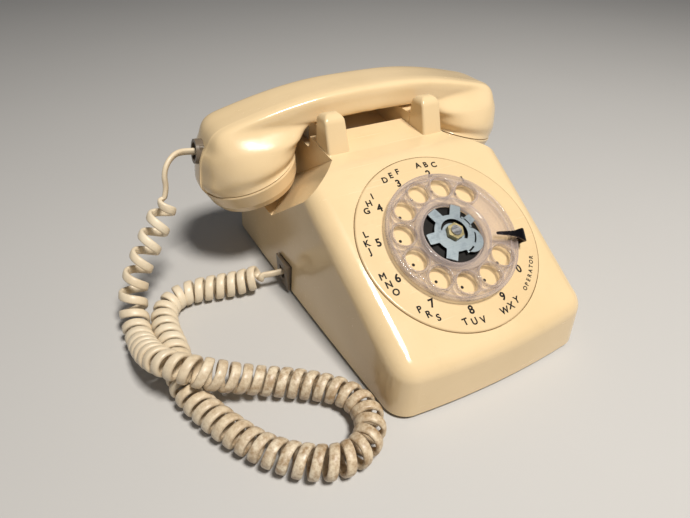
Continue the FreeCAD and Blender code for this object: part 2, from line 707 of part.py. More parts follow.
def gong_posts():
    return [(GONG_LEFT_X, GONG_Y), (GONG_RIGHT_X, GONG_Y)]


def ringer_frame():
    """Pressed frame on the base plate with the gong posts and the coil's yoke."""
    base = box(-36, 26, 78, 96, PLATE_Z1, 8.0)
    link = box(-14, 4, 42, 80, PLATE_Z1, 8.0)
    posts = [rod(4.0, (x, y, 8.0), (x, y, 25.4)) for x, y in gong_posts()]
    holes = [rod(2.0, (x, y, 12), (x, y, 30)) for x, y in gong_posts()]
    yoke = [box(x, x + 2.0, 44, 66, 8.0, 32) for x in (-24.5, 12.5)]
    shelf = box(-24.5, 14.5, 44, 66, PLATE_Z1, 8.0)
    frame = fuse([base, link, shelf] + posts + yoke)
    for h in holes:
        frame = frame.cut(h)
    return frame.cut(rod(1.55, (-5, 72, 0), (-5, 72, 30)))


def gong_screws():
    return [rod(3.6, (x, y, 27), (x, y, 29)).fuse(rod(2.0, (x, y, 12), (x, y, 27))) for x, y in gong_posts()]


def ringer_coil():
    return rod(9.6, (-22.5, 55, 20), (12.5, 55, 20))


def ringer_magnet():
    return box(-16, 6, 48, 62, 29.7, 34)


def clapper_arm():
    """Armature pivot, arm and ball between the gongs."""
    pivot = rod(1.5, (-5, 72, PLATE_Z1 + 0.1), (-5, 72, 22))
    arm = box(-5.6, -4.4, 72, 87, 16.8, 18.6)
    ball = Part.makeSphere(2.0, V(-5, 88, 17.7))
    return fuse([pivot, arm, ball])


def network_block():
    block = box(22, 58, 26, 66, PLATE_Z1, 30)
    for i in range(5):
        block = block.fuse(rod(1.8, (26 + 7 * i, 32, 30), (26 + 7 * i, 32, 32.6)))
    return block


def network_screws():
    return [rod(1.8, (26 + 7 * i, 60, 30), (26 + 7 * i, 60, 32.0)) for i in range(5)]


def hookswitch_bracket():
    """U bracket from the base plate up to the lever's pivot."""
    y, z = LEVER_PIVOT
    sides = [box(x, x + 1.6, y - 6, y + 5.3, PLATE_Z1, z + 5) for x in (-20.0, 18.4)]
    foot = box(-20.0, 20.0, y - 6, y + 6, PLATE_Z1, 8.0)
    shelf = box(-20.0, 20.0, y - 6, y - 4.4, 40, z - 8)
    frame = fuse(sides + [foot, shelf])
    return frame.cut(rod(1.55, (-30, y, z), (30, y, z)))


def hookswitch_pin():
    y, z = LEVER_PIVOT
    return rod(1.5, (-21.5, y, z), (21.5, y, z))


def hookswitch_lever():
    """Rocking frame that both plungers press."""
    y, z = LEVER_PIVOT
    arms = [box(x, x + 1.6, y - 3, y + 8, z - 3, z + 3) for x in (-17.6, 16.0)]
    bar = box(-37.0, 37.0, y + 6.4, y + 8.0, z - 3, z + 3)
    legs = [box(x, x + 1.6, y + 6.4, HS_Y + 2.1, z - 3, z - 0.4) for x in (-37.0, 35.4)]
    pads = [box(x, x + 9, HS_Y - 3, HS_Y + 2.1, z - 2.0, z - 0.4) for x in (-37.0, 28.0)]
    tail = box(-4, 4, y + 6.4, y + 8.0, z - 16, z - 3)
    return fuse(arms + [bar, tail] + legs + pads).cut(rod(1.56, (-30, y, z), (30, y, z)))


def hookswitch_contacts():
    y, z = LEVER_PIVOT
    leaves = [box(-7, 7, y - 4.4 + 2.0 + 1.6 * i, y - 4.4 + 2.4 + 1.6 * i, z - 24, z - 10) for i in range(3)]
    block = box(-8, 8, y - 4.4, y + 3.4, z - 28, z - 22)
    return fuse([block] + leaves)


def hookswitch_spring():
    """Return spring, drawn as its coiled outer shape between bracket and lever."""
    y, z = LEVER_PIVOT
    return tube(2.4, 1.6, (-12.5, y, z), (-7.0, y, z))


def plunger(sign):
    """Button that the handset holds down, with a collar that stops it under the saddle."""
    x = sign * PLUNGER_X
    stem = box(x - 3.2, x + 3.2, HS_Y - 4.2, HS_Y + 4.2, PLUNGER_Z0, 95.0)
    stem = fillet(stem, 1.2, lambda e: e.CenterOfMass.z > 94.9)
    collar = box(x - 3.2, x + 3.2, HS_Y - 7.5, HS_Y + 7.5, PLUNGER_Z0 + 0.5, PLUNGER_Z0 + 2.5)
    return stem.fuse(collar)


def volume_wheel():
    """Thumb wheel on edge in the base plate's slot."""
    wheel = rod(8.0, (50.5, VOLUME_Y, 12.0), (53.5, VOLUME_Y, 12.0))
    return wheel.cut(rod(1.55, (40, VOLUME_Y, 12.0), (70, VOLUME_Y, 12.0)))


def volume_bracket():
    sides = [box(x, x + 1.2, VOLUME_Y - 8.5, VOLUME_Y + 8.5, PLATE_Z1, 14.0) for x in (48.6, 54.2)]
    pin = rod(1.5, (48.6, VOLUME_Y, 12.0), (55.4, VOLUME_Y, 12.0))
    return fuse(sides + [pin])


# ---------------------------------------------------------------- cord

def route_wire(points):
    """Straight runs joined by tangent arcs, each arc as large as its runs allow."""
    pts = [V(*p) for p in points]
    edges = []
    radii = []
    start = pts[0]
    for a, b, c in zip(pts, pts[1:], pts[2:]):
        d0 = (b - a).normalize()
        d1 = (c - b).normalize()
        turn = d0.getAngle(d1)
        cut = 0.45 * min((b - a).Length, (c - b).Length)
        radii.append(cut / math.tan(turn / 2))
        t0, t1 = b - d0 * cut, b + d1 * cut
        bis = (d1 - d0).normalize()
        to_mid = radii[-1] / math.cos(turn / 2) - radii[-1]
        edges.append(Part.LineSegment(start, t0).toShape())
        edges.append(Part.Arc(t0, b + bis * to_mid, t1).toShape())
        start = t1
    edges.append(Part.LineSegment(start, pts[-1]).toShape())
    return Part.Wire(edges), radii


def sweep(name, points, radius):
    wire, radii = route_wire(points)
    first = wire.Edges[0]
    p0, p1 = first.Vertexes[0].Point, first.Vertexes[-1].Point
    ring = Part.Wire([Part.makeCircle(radius, p0, p1 - p0)])
    solid = wire.makePipeShell([ring], True, False)
    ideal = math.pi * radius * radius * wire.Length
    print(name, "length %.1f" % wire.Length, "radii", " ".join("%.1f" % r for r in radii))
    print(name, "volume %.0f against %.0f" % (solid.Volume, ideal))
    return solid


STRAND_BASE = [(-73.0, JACK_Y, 12.9), (-80.3, JACK_Y, 12.9), (-87.65, 26.88, 12.33)]
STRAND_HANDSET = [(-131.5, 54.8, 65.5), (-128.7, 56.24, 72.3), (-128.6, 56.3, 79.0), (-125.4, 58.6, 84.9),
                  (-119.4, 63.2, 87.8), (-112.56, HS_Y, 85.82), (-106.225, HS_Y, 84.378)]


def export(name, shape):
    shapes = shape if isinstance(shape, list) else [shape]
    solids = [s for one in shapes for s in one.Solids]
    out = solids[0] if len(solids) == 1 else Part.makeCompound(solids)
    if not all(s.isValid() for s in solids):
        print("NOT VALID", name)
    out.translate(V(*ORIGIN))
    b = out.BoundBox
    print("%-24s %2d solids  %8.0f mm3  x %.1f %.1f  y %.1f %.1f  z %.1f %.1f" % (
        name, len(solids), out.Volume, b.XMin, b.XMax, b.YMin, b.YMax, b.ZMin, b.ZMax))
    out.exportStep("parts/" + name + ".step")


def main():
    os.makedirs("parts", exist_ok=True)
    nodes = {
        "base_plate": base_plate(),
        "rubber_feet": rubber_feet(),
        "housing": housing(),
        "housing_screws": housing_screws(),
        "number_plate": number_plate(),
        "finger_stop": finger_stop(),
        "dial_frame": dial_frame(),
        "dial_brackets": dial_brackets(),
        "dial_screws": dial_screws(),
        "pulse_contacts": pulse_contacts(),
        "governor_cup": governor_cup(),
        "mainspring": mainspring(),
        "ringer_frame": ringer_frame(),
        "ringer_coil": ringer_coil(),
        "ringer_magnet": ringer_magnet(),
        "gong_left": gong(GONG_LEFT_X, 21.0),
        "gong_right": gong(GONG_RIGHT_X, 21.5),
        "gong_screws": gong_screws(),
        "network_block": network_block(),
        "network_screws": network_screws(),
        "hookswitch_bracket": hookswitch_bracket(),
        "hookswitch_contacts": hookswitch_contacts(),
        "hookswitch_pin": hookswitch_pin(),
        "hookswitch_spring": hookswitch_spring(),
        "side_jack": side_jack(),
        "line_jack": line_jack(),
        "volume_bracket": volume_bracket(),
        "fingerwheel": fingerwheel(),
        "clamp_plate": clamp_plate(),
        "center_nut": center_nut(),
        "main_shaft": main_shaft(),
        "main_gear": main_gear(),
        "governor_shaft": governor_shaft(),
        "governor_pinion": governor_pinion(),
        "governor_weights": governor_weights(),
        "hookswitch_lever": hookswitch_lever(),
        "plunger_left": plunger(-1),
        "plunger_right": plunger(1),
        "clapper_arm": clapper_arm(),
        "volume_wheel": volume_wheel(),
        "handset_shell": handset_shell(),
        "transmitter_cap": cap(-1, [(0, 1), (6, 6), (12, 12)]),
        "receiver_cap": cap(1, [(0, 1), (5, 6)]),
        "transmitter_capsule": capsule(-1, 22.8, -9.2, 6.0),
        "receiver_capsule": capsule(1, 24.4, -12.0, 6.0),
        "transmitter_cup": transmitter_cup(),
        "handset_jack": handset_jack(),
        "handset_cord_plug": handset_cord_plug(),
        "base_cord_plug": base_cord_plug(),
        "cord_strand_base": sweep("strand at the base", STRAND_BASE, STRAND_R),
        "cord_coil": sweep("coil", COIL_ROUTE, COIL_R),
        "cord_strand_handset": sweep("strand at the handset", STRAND_HANDSET, STRAND_R),
    }
    for name, shape in nodes.items():
        export(name, shape)
    print(len(nodes), "nodes")


main()
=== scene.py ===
"""Looks of a desk telephone with a rotary dial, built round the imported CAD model. Lengths are in metres."""
import json
import math

import bmesh
import bpy
from mathutils import Matrix, Quaternion, Vector


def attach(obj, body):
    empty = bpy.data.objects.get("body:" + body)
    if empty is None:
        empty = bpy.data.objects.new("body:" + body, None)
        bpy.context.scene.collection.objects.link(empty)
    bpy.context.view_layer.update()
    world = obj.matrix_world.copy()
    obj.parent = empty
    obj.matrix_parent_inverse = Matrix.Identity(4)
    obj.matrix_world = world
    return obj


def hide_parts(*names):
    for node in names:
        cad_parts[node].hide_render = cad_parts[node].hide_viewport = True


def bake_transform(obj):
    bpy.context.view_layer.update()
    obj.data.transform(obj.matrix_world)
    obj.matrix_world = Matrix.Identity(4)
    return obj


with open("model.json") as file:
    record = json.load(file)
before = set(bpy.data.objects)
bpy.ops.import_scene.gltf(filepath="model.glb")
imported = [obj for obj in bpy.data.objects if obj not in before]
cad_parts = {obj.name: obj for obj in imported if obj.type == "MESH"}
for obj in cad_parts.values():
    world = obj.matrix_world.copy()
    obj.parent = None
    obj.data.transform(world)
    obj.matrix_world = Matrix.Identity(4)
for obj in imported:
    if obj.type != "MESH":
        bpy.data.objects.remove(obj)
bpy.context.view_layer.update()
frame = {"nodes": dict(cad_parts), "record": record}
nodes = frame["nodes"]
scene = bpy.context.scene

# ------------------------------------------------------------------ places taken from the CAD model

FACE_TILT = math.radians(28.2)                      # the sloping face
DIAL = Vector((-0.00225, -0.05035, 0.0594))         # centre of the dial on it
FACE = Matrix.Translation(DIAL) @ Matrix.Rotation(FACE_TILT, 4, "X")


def link(obj):
    scene.collection.objects.link(obj)
    return obj


def mesh_object(name, mesh):
    return link(bpy.data.objects.new(name, mesh))


# ------------------------------------------------------------------ camera

CAMERA_PLACE = (-0.15105, -0.20975, 0.2115)
CAMERA_AIM = Vector((0.3661, 0.6900, -0.6244))
CAMERA_ROLL = math.radians(1.1)
CAMERA_LENS = 24.78             # millimetres, on a 36 mm sensor


def make_camera():
    data = bpy.data.cameras.new("camera")
    data.sensor_width = 36.0
    data.lens = CAMERA_LENS
    data.clip_start = 0.01
    camera = link(bpy.data.objects.new("camera", data))
    camera.location = CAMERA_PLACE
    camera.rotation_mode = "QUATERNION"
    look = CAMERA_AIM.to_track_quat("-Z", "Y")
    camera.rotation_quaternion = look @ Quaternion((0, 0, 1), CAMERA_ROLL)
    scene.camera = camera


make_camera()

# ------------------------------------------------------------------ cord

STRAND_WIDTH = 0.0050           # along the coil
STRAND_THICK = 0.0027           # across it
COIL_RADIUS = 0.0064            # middle of the strand
PITCH = 0.0068                  # in the closed coil on the table
OPEN_PITCH = 0.0120             # where the hanging run is pulled open
OPEN_FROM = 0.395               # metres along the route
OPEN_OVER = 0.07                # the length in which the pitch opens
TAPER = 0.006                   # over which the coil opens out at each end
BASE_TAIL = 0.014               # straight strand before the coil
HANDSET_TAIL = 0.042            # and after it
HELIX_STEP = 0.00022            # along the route, between worked-out points
STRAND_STEP = 0.0014            # along the strand, between its rings

CORD_ROUTE = [
    (-0.07525, 0.01655, 0.0129), (-0.08255, 0.01655, 0.0129), (-0.09025, 0.01925, 0.0123),
    (-0.10425, 0.02275, 0.0086), (-0.11775, 0.02575, 0.0081), (-0.13025, 0.02845, 0.008),
    (-0.14075, 0.02805, 0.008), (-0.14905, 0.02225, 0.008), (-0.15305, 0.01275, 0.008),
    (-0.15355, 0.00125, 0.008), (-0.15205, -0.01375, 0.008), (-0.15285, -0.02875, 0.008),
    (-0.15305, -0.04375, 0.008), (-0.14725, -0.05975, 0.008), (-0.13875, -0.07675, 0.008),
    (-0.12875, -0.09225, 0.008), (-0.11575, -0.10525, 0.008), (-0.10125, -0.11325, 0.008),
    (-0.08875, -0.11275, 0.008), (-0.07925, -0.10525, 0.008), (-0.07645, -0.09375, 0.008),
    (-0.08045, -0.08275, 0.008), (-0.08875, -0.07425, 0.008), (-0.10025, -0.06575, 0.0081),
    (-0.11325, -0.05825, 0.0088), (-0.12525, -0.05375, 0.0125), (-0.13625, -0.05125, 0.0185),
    (-0.14675, -0.04775, 0.024), (-0.15875, -0.03625, 0.024), (-0.16425, -0.02175, 0.0175),
    (-0.16705, -0.00675, 0.0108), (-0.16825, 0.00475, 0.0084), (-0.16825, 0.01475, 0.0093),
    (-0.16725, 0.02275, 0.014), (-0.16455, 0.02875, 0.0215), (-0.15975, 0.03305, 0.0298),
    (-0.15225, 0.03725, 0.0395), (-0.14425, 0.04175, 0.0486), (-0.13725, 0.04525, 0.057),
    (-0.13375, 0.04705, 0.0655), (-0.13095, 0.04849, 0.0723), (-0.13085, 0.04855, 0.079),
    (-0.12765, 0.05085, 0.0849), (-0.12165, 0.05545, 0.0878), (-0.11481, 0.06025, 0.08582),
    (-0.10848, 0.06025, 0.08438),
]


def smooth_line(points):
    """Points read from the NURBS spline of a route."""
    curve = bpy.data.curves.new("route", "CURVE")
    curve.dimensions = "3D"
    spline = curve.splines.new("NURBS")
    spline.points.add(len(points) - 1)
    for target, place in zip(spline.points, points):
        target.co = (*place, 1.0)
    spline.order_u = 3
    spline.use_endpoint_u = True
    spline.resolution_u = 24
    holder = bpy.data.objects.new("route", curve)
    mesh = bpy.data.meshes.new_from_object(holder)
    line = [v.co.copy() for v in mesh.vertices]
    bpy.data.objects.remove(holder)
    return line


def along(line, step):
    """Evenly spaced (point, distance) along a line."""
    out = [(line[0].copy(), 0.0)]
    walked = 0.0
    wanted = step
    for a, b in zip(line, line[1:]):
        piece = (b - a).length
        while piece > 0 and walked + piece >= wanted:
            out.append((a.lerp(b, (wanted - walked) / piece), wanted))
            wanted += step
        walked += piece
    out.append((line[-1].copy(), walked))
    return out


def carried_frames(points, first_side):
    """Tangent and side of each point, the side carried along without twisting."""
    frames = []
    side = Vector(first_side)
    for i, p in enumerate(points):
        tangent = (points[min(i + 1, len(points) - 1)] - points[max(i - 1, 0)]).normalized()
        side = (side - tangent * side.dot(tangent)).normalized()
        frames.append((tangent, side))
    return frames


def ease(t):
    t = min(max(t, 0.0), 1.0)
    return t * t * (3 - 2 * t)


def coil_line(route, start, end):
    """Centreline of the strand: straight tails, and a helix round the route between start and end."""
    samples = along(smooth_line(route), HELIX_STEP)
    frames = carried_frames([p for p, _ in samples], (0, 0, 1))
    line = []
    turn = 0.0
    for (point, s), (tangent, side) in zip(samples, frames):
        opening = ease((s - start) / TAPER) * ease((end - s) / TAPER)
        pulled = ease((s - OPEN_FROM) / OPEN_OVER)
        turn += 2 * math.pi * HELIX_STEP / (PITCH + (OPEN_PITCH - PITCH) * pulled)
        across = tangent.cross(side)
        loose = 1.0 + 0.035 * math.sin(s * 61.0) + 0.025 * math.sin(s * 143.0 + 1.7)
        radius = COIL_RADIUS * opening * loose
        line.append(point + (side * math.cos(turn) - across * math.sin(turn)) * radius)
    return line, samples, frames


def squared(t):
    """Fills the corners of an oval a little."""
    return math.copysign(abs(t) ** 0.7, t)


def tube_mesh(name, line, widths, up_hints, ring=12):
    """A closed tube of oval section along a line. widths gives the section at each point."""
    bm = bmesh.new()
    rings = []
    count = len(line)
    for i, p in enumerate(line):
        tangent = (line[min(i + 1, count - 1)] - line[max(i - 1, 0)]).normalized()
        wide = (up_hints[i] - tangent * up_hints[i].dot(tangent)).normalized()
        thin = tangent.cross(wide)
        half_wide, half_thin = widths[i]
        ring_verts = []
        for k in range(ring):
            a = 2 * math.pi * k / ring
            x, y = squared(math.cos(a)) * half_wide, squared(math.sin(a)) * half_thin
            ring_verts.append(bm.verts.new(p + wide * x + thin * y))
        rings.append(ring_verts)
    for a, b in zip(rings, rings[1:]):
        for k in range(ring):
            bm.faces.new((a[k], a[(k + 1) % ring], b[(k + 1) % ring], b[k]))
    bm.faces.new(rings[0][::-1])
    bm.faces.new(rings[-1])
    bmesh.ops.recalc_face_normals(bm, faces=bm.faces)
    mesh = bpy.data.meshes.new(name)
    bm.to_mesh(mesh)
    bm.free()
    for polygon in mesh.polygons:
        polygon.use_smooth = True
    return mesh


def line_length(line):
    return sum((b - a).length for a, b in zip(line, line[1:]))


def make_cord():
    total = line_length(smooth_line(CORD_ROUTE))
    start, end = BASE_TAIL, total - HANDSET_TAIL
    fine, samples, frames = coil_line(CORD_ROUTE, start, end)
    strand = along(fine, STRAND_STEP)
    line = [p for p, _ in strand]
    # where along the route each point of the strand lies, for its section and its twist
    walked = [0.0]
    for a, b in zip(fine, fine[1:]):
        walked.append(walked[-1] + (b - a).length)
    widths, hints = [], []
    j = 0
    for _, s in strand:
        while j < len(walked) - 2 and walked[j + 1] < s:
            j += 1
        at = samples[j][1]
        wound = ease((at - start) / TAPER) * ease((end - at) / TAPER)
        half_wide = STRAND_WIDTH / 2 * (0.86 + 0.14 * wound)
        widths.append((half_wide, STRAND_THICK / 2))
        hints.append(frames[j][0] * wound + frames[j][1] * (1 - wound))
    cord = mesh_object("curly_cord", tube_mesh("curly_cord", line, widths, hints))
    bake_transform(cord)
    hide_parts("cord_strand_base", "cord_coil", "cord_strand_handset")
    return cord


cord = make_cord()

# ------------------------------------------------------------------ materials

class Surface:
    """A procedural material under construction. Textures lie in object space, scaled per metre."""

    def __init__(self, name):
        self.material = bpy.data.materials.new(name)
        self.material.use_nodes = True
        self.tree = self.material.node_tree
        self.shader = next(n for n in self.tree.nodes if n.type == "BSDF_PRINCIPLED")
        self.place = self.tree.nodes.new("ShaderNodeTexCoord").outputs["Object"]

    def set(self, **values):
        for socket, value in values.items():
            self.shader.inputs[socket.replace("_", " ")].default_value = value

    def drive(self, socket, output):
        self.tree.links.new(output, self.shader.inputs[socket])

    def node(self, kind, inputs, **settings):
        node = self.tree.nodes.new(kind)
        for key, value in settings.items():
            setattr(node, key, value)
        for key, value in inputs.items():
            if isinstance(value, bpy.types.NodeSocket):
                self.tree.links.new(value, node.inputs[key])
            else:
                node.inputs[key].default_value = value
        return node

    def stretched(self, scale, turn=(0, 0, 0)):
        inputs = {"Vector": self.place, "Scale": scale, "Rotation": turn}
        return self.node("ShaderNodeMapping", inputs).outputs[0]

    def noise(self, scale, detail=5.0, roughness=0.55, place=None, distortion=0.0):
        inputs = {"Vector": place or self.place, "Scale": scale, "Detail": detail, "Roughness": roughness,
                  "Distortion": distortion}
        return self.node("ShaderNodeTexNoise", inputs).outputs[0]

    def span(self, value, low, high, to_low=0.0, to_high=1.0):
        inputs = {"Value": value, "From Min": low, "From Max": high, "To Min": to_low, "To Max": to_high}
        return self.node("ShaderNodeMapRange", inputs).outputs[0]

    def times(self, a, b):
        return self.node("ShaderNodeMath", {0: a, 1: b}, operation="MULTIPLY").outputs[0]

    def plus(self, a, b):
        return self.node("ShaderNodeMath", {0: a, 1: b}, operation="ADD").outputs[0]

    def mix(self, factor, a, b):
        node = self.node("ShaderNodeMix", {"Factor": factor}, data_type="RGBA")
        for socket, value in ((node.inputs[6], a), (node.inputs[7], b)):
            if isinstance(value, bpy.types.NodeSocket):
                self.tree.links.new(value, socket)
            else:
                socket.default_value = (*value, 1.0)
        return node.outputs[2]

    def bump(self, height, strength, distance, under=None):
        inputs = {"Height": height, "Strength": strength, "Distance": distance}
        if under:
            inputs["Normal"] = under
        return self.node("ShaderNodeBump", inputs).outputs[0]

    def near(self, point, inner, outer):
        """1 within inner of a point, falling to 0 at outer."""
        away = self.node("ShaderNodeVectorMath", {0: self.place, 1: point}, operation="DISTANCE")
        return self.span(away.outputs["Value"], inner, outer, 1.0, 0.0)

    def scratches(self, density, turn):
        """Thin lines along one direction, 1 on a line."""
        lines = self.noise(1.0, 3.0, 0.6, self.stretched((density * 0.02, density, density), turn), 0.4)
        return self.span(lines, 0.66, 0.72)


def plastic(name, light, shade, dirt, rough, dirty=0.35, peel=0.05, coat=0.0, wear=1.0, shine=0.5):
    """Moulded plastic: slow drift of colour, grime in patches, fine scratches, and orange peel."""
    s = Surface(name)
    body = s.mix(s.span(s.noise(14.0, 3.0), 0.35, 0.65), light, shade)
    grime = s.span(s.noise(75.0, 9.0, 0.68), 0.52, 0.78, 0.0, dirty)
    specks = s.span(s.noise(520.0, 2.0), 0.70, 0.76, 0.0, dirty * 1.2)
    colour = s.mix(s.plus(grime, specks), body, dirt)
    lines = s.scratches(620.0, (0.3, 0.2, 0.9))
    crossing = s.scratches(480.0, (0.1, 0.5, 2.3))
    scored = s.times(s.plus(lines, crossing), wear)
    gloss = s.span(s.noise(38.0, 6.0, 0.6), 0.3, 0.7, *rough)
    s.drive("Base Color", colour)
    s.drive("Roughness", s.plus(gloss, s.times(scored, 0.12)))
    skin = s.bump(s.noise(1400.0, 2.0), peel, 0.0002)
    ripple = s.bump(s.noise(55.0, 2.0), 0.06, 0.0006, skin)
    s.drive("Normal", s.bump(scored, 0.05, -0.00005, ripple))
    s.set(Coat_Weight=coat, Coat_Roughness=0.08, IOR=1.5, Specular_IOR_Level=shine)
    return s


def metal(name, light, shade, stain, rough, stained=0.5, brush=(60.0, 1500.0, 1500.0), turn=(0, 0, 0)):
    """Plated or bare metal: brushed grain, patches of tarnish and small pits."""
    s = Surface(name)
    grain = s.noise(1.0, 4.0, 0.6, s.stretched(brush, turn))
    body = s.mix(grain, light, shade)
    patch = s.span(s.noise(160.0, 8.0, 0.65), 0.48, 0.72, 0.0, stained)
    s.drive("Base Color", s.mix(patch, body, stain))
    s.drive("Roughness", s.plus(s.span(grain, 0.3, 0.7, *rough), s.times(patch, 0.25)))
    pits = s.span(s.noise(1900.0, 2.0), 0.62, 0.75)
    s.drive("Normal", s.bump(pits, 0.15, -0.0001, s.bump(grain, 0.12, 0.0001)))
    s.set(Metallic=1.0)
    return s


def acrylic(name, tint, clear, edge, rough=(0.04, 0.14)):
    """Aged clear plastic, more solid where it is seen edge on, with haze and hairline scratches."""
    s = Surface(name)
    haze = s.span(s.noise(90.0, 6.0, 0.6), 0.35, 0.75, 0.0, 0.10)
    lines = s.plus(s.scratches(900.0, (0.4, 0.1, 0.6)), s.scratches(700.0, (0.2, 0.3, 1.9)))
    facing = s.node("ShaderNodeLayerWeight", {"Blend": 0.42}).outputs["Facing"]
    solid = s.plus(s.span(facing, 0.15, 1.0, clear, edge), s.plus(haze, s.times(lines, 0.10)))
    s.drive("Base Color", s.mix(s.noise(45.0, 4.0), tint, tuple(c * 0.8 for c in tint)))
    s.drive("Roughness", s.span(s.noise(60.0, 5.0), 0.3, 0.7, *rough))
    s.drive("Alpha", solid)
    s.drive("Normal", s.bump(s.noise(140.0, 3.0), 0.10, 0.0005, s.bump(lines, 0.08, -0.0001)))
    s.set(IOR=1.49, Specular_IOR_Level=0.9, Coat_Weight=0.6, Coat_Roughness=0.05)
    return s


LOOP_MIDDLE = (-0.095, -0.090, 0.008)       # of the cord's front loop


def vinyl(name):
    """Cord jacket: creamy near the ends, handled brown in the loop that lies in front."""
    s = Surface(name)
    body = s.mix(s.span(s.noise(30.0, 3.0), 0.35, 0.65), (0.80, 0.70, 0.53), (0.71, 0.585, 0.41))
    handled = s.plus(s.near(LOOP_MIDDLE, 0.040, 0.090), s.span(s.noise(22.0, 2.0), 0.3, 0.7, -0.2, 0.2))
    grime = s.span(s.noise(260.0, 9.0, 0.72), 0.40, 0.62, 0.12, 1.0)
    tan = s.mix(s.noise(120.0, 6.0, 0.6), (0.36, 0.20, 0.07), (0.16, 0.08, 0.025))
    amount = s.times(s.span(handled, 0.0, 1.0, 0.06, 0.85), grime)
    s.drive("Base Color", s.mix(amount, body, tan))
    s.drive("Roughness", s.span(s.noise(170.0, 6.0, 0.6), 0.3, 0.7, 0.30, 0.58))
    s.drive("Normal", s.bump(s.noise(800.0, 5.0, 0.6), 0.18, 0.0003))
    s.set(IOR=1.5, Coat_Weight=0.15, Coat_Roughness=0.3)
    return s


def tape(name):
    """Wound cloth tape of the ringer coil."""
    s = Surface(name)
    wave = {"Vector": s.place, "Scale": 160.0, "Distortion": 1.2, "Detail": 2.0}
    bands = s.node("ShaderNodeTexWave", wave).outputs[1]
    thread = s.noise(1.0, 3.0, 0.6, s.stretched((300.0, 2600.0, 2600.0)))
    woven = s.mix(thread, (0.30, 0.19, 0.08), (0.52, 0.38, 0.18))
    s.drive("Base Color", s.mix(bands, (0.45, 0.30, 0.13), woven))
    s.drive("Roughness", s.span(thread, 0.3, 0.7, 0.7, 0.95))
    s.drive("Normal", s.bump(thread, 0.4, 0.0003, s.bump(bands, 0.4, 0.0004)))
    return s


MATERIALS = {
    "cream_plastic": plastic("cream_plastic", (0.79, 0.605, 0.360), (0.74, 0.56, 0.320), (0.42, 0.28, 0.12),
                             (0.13, 0.22), dirty=0.08, peel=0.035, coat=0.15),
    "plate_plastic": plastic("plate_plastic", (0.74, 0.56, 0.325), (0.70, 0.52, 0.29), (0.42, 0.28, 0.12),
                             (0.18, 0.28), dirty=0.14, peel=0.03),
    "plunger_plastic": plastic("plunger_plastic", (0.82, 0.80, 0.74), (0.75, 0.72, 0.64), (0.50, 0.44, 0.34),
                               (0.15, 0.3), dirty=0.2),
    "grey_plastic": plastic("grey_plastic", (0.20, 0.155, 0.11), (0.13, 0.10, 0.07), (0.09, 0.06, 0.035),
                            (0.30, 0.5), dirty=0.4),
    "rubber": plastic("rubber", (0.030, 0.029, 0.028), (0.018, 0.018, 0.018), (0.12, 0.10, 0.08),
                      (0.6, 0.85), dirty=0.35, peel=0.25),
    "ink": plastic("ink", (0.008, 0.0075, 0.007), (0.013, 0.012, 0.011), (0.07, 0.055, 0.035), (0.5, 0.7),
                   dirty=0.12, shine=0.12),
    "clear_plastic": acrylic("clear_plastic", (0.68, 0.57, 0.53), 0.13, 0.84),
    "cord_vinyl": vinyl("cord_vinyl"),
    "coil_tape": tape("coil_tape"),
    "plate_steel": metal("plate_steel", (0.62, 0.61, 0.56), (0.50, 0.50, 0.47), (0.34, 0.31, 0.26),
                         (0.28, 0.42)),
    "steel": metal("steel", (0.66, 0.66, 0.66), (0.54, 0.54, 0.55), (0.36, 0.33, 0.30), (0.18, 0.32)),
    "dark_steel": metal("dark_steel", (0.085, 0.075, 0.085), (0.045, 0.040, 0.050), (0.10, 0.07, 0.05),
                        (0.10, 0.22), stained=0.25),
    "zinc": metal("zinc", (0.30, 0.34, 0.35), (0.20, 0.24, 0.27), (0.10, 0.12, 0.15), (0.40, 0.55),
                  stained=0.6),
    "cast_metal": metal("cast_metal", (0.52, 0.52, 0.51), (0.42, 0.42, 0.42), (0.26, 0.25, 0.24), (0.4, 0.6),
                        brush=(500.0, 500.0, 500.0)),
    "brass": metal("brass", (0.62, 0.53, 0.29), (0.48, 0.40, 0.20), (0.32, 0.22, 0.09), (0.24, 0.40),
                   stained=0.6),
    "gong_brass": metal("gong_brass", (0.74, 0.56, 0.22), (0.64, 0.46, 0.16), (0.36, 0.24, 0.09),
                        (0.16, 0.28), brush=(900.0, 900.0, 900.0)),
}


def paint(obj, slot):
    obj.data.materials.clear()
    obj.data.materials.append(MATERIALS[slot].material)


for part in frame["record"]["subparts"]:
    paint(nodes[part["node"]], part["material_slot"])
paint(cord, "cord_vinyl")

# ------------------------------------------------------------------ the dial, in millimetres on its own face

MM = Matrix.Scale(0.001, 4)
ON_FACE = FACE @ MM
PRINT_Z = 0.82                  # just over the number plate
DIGIT_R = 41.7                  # circles on which the print stands
LETTER_R = 47.9
OPERATOR_R = 48.6
DIGIT_SIZE = 6.3
LETTER_SIZE = 5.0
OPERATOR_SIZE = 3.2
OPERATOR_START = 303.5          # degrees, its first letter
OPERATOR_STEP = 24.6 / 7
DIGITS = "1234567890"
WORDS = ["ABC", "DEF", "GHI", "JKL", "MNO", "PRS", "TUV", "WXY"]     # outside the digits 2 to 9
FIRST_DIGIT = 49.0              # degrees
DIGIT_STEP = 29.6
LETTER_STEP = 6.2
DOT_CIRCLE = 29.4               # a dot under each finger hole
DOT_R = 0.9
FIRST_DOT = 54.0
DOT_STEP = 28.5
HOLE_CIRCLE = 28.9
HOLE_R = 6.3
HOLE_ANGLES = [45.5 + 30 * i for i in range(10)]


def polar(radius, degrees, middle=(0, 0)):
    a = math.radians(degrees)
    return middle[0] + radius * math.cos(a), middle[1] + radius * math.sin(a)


def circle(radius, middle=(0, 0), count=64):
    return [polar(radius, 360 * i / count, middle) for i in range(count)]


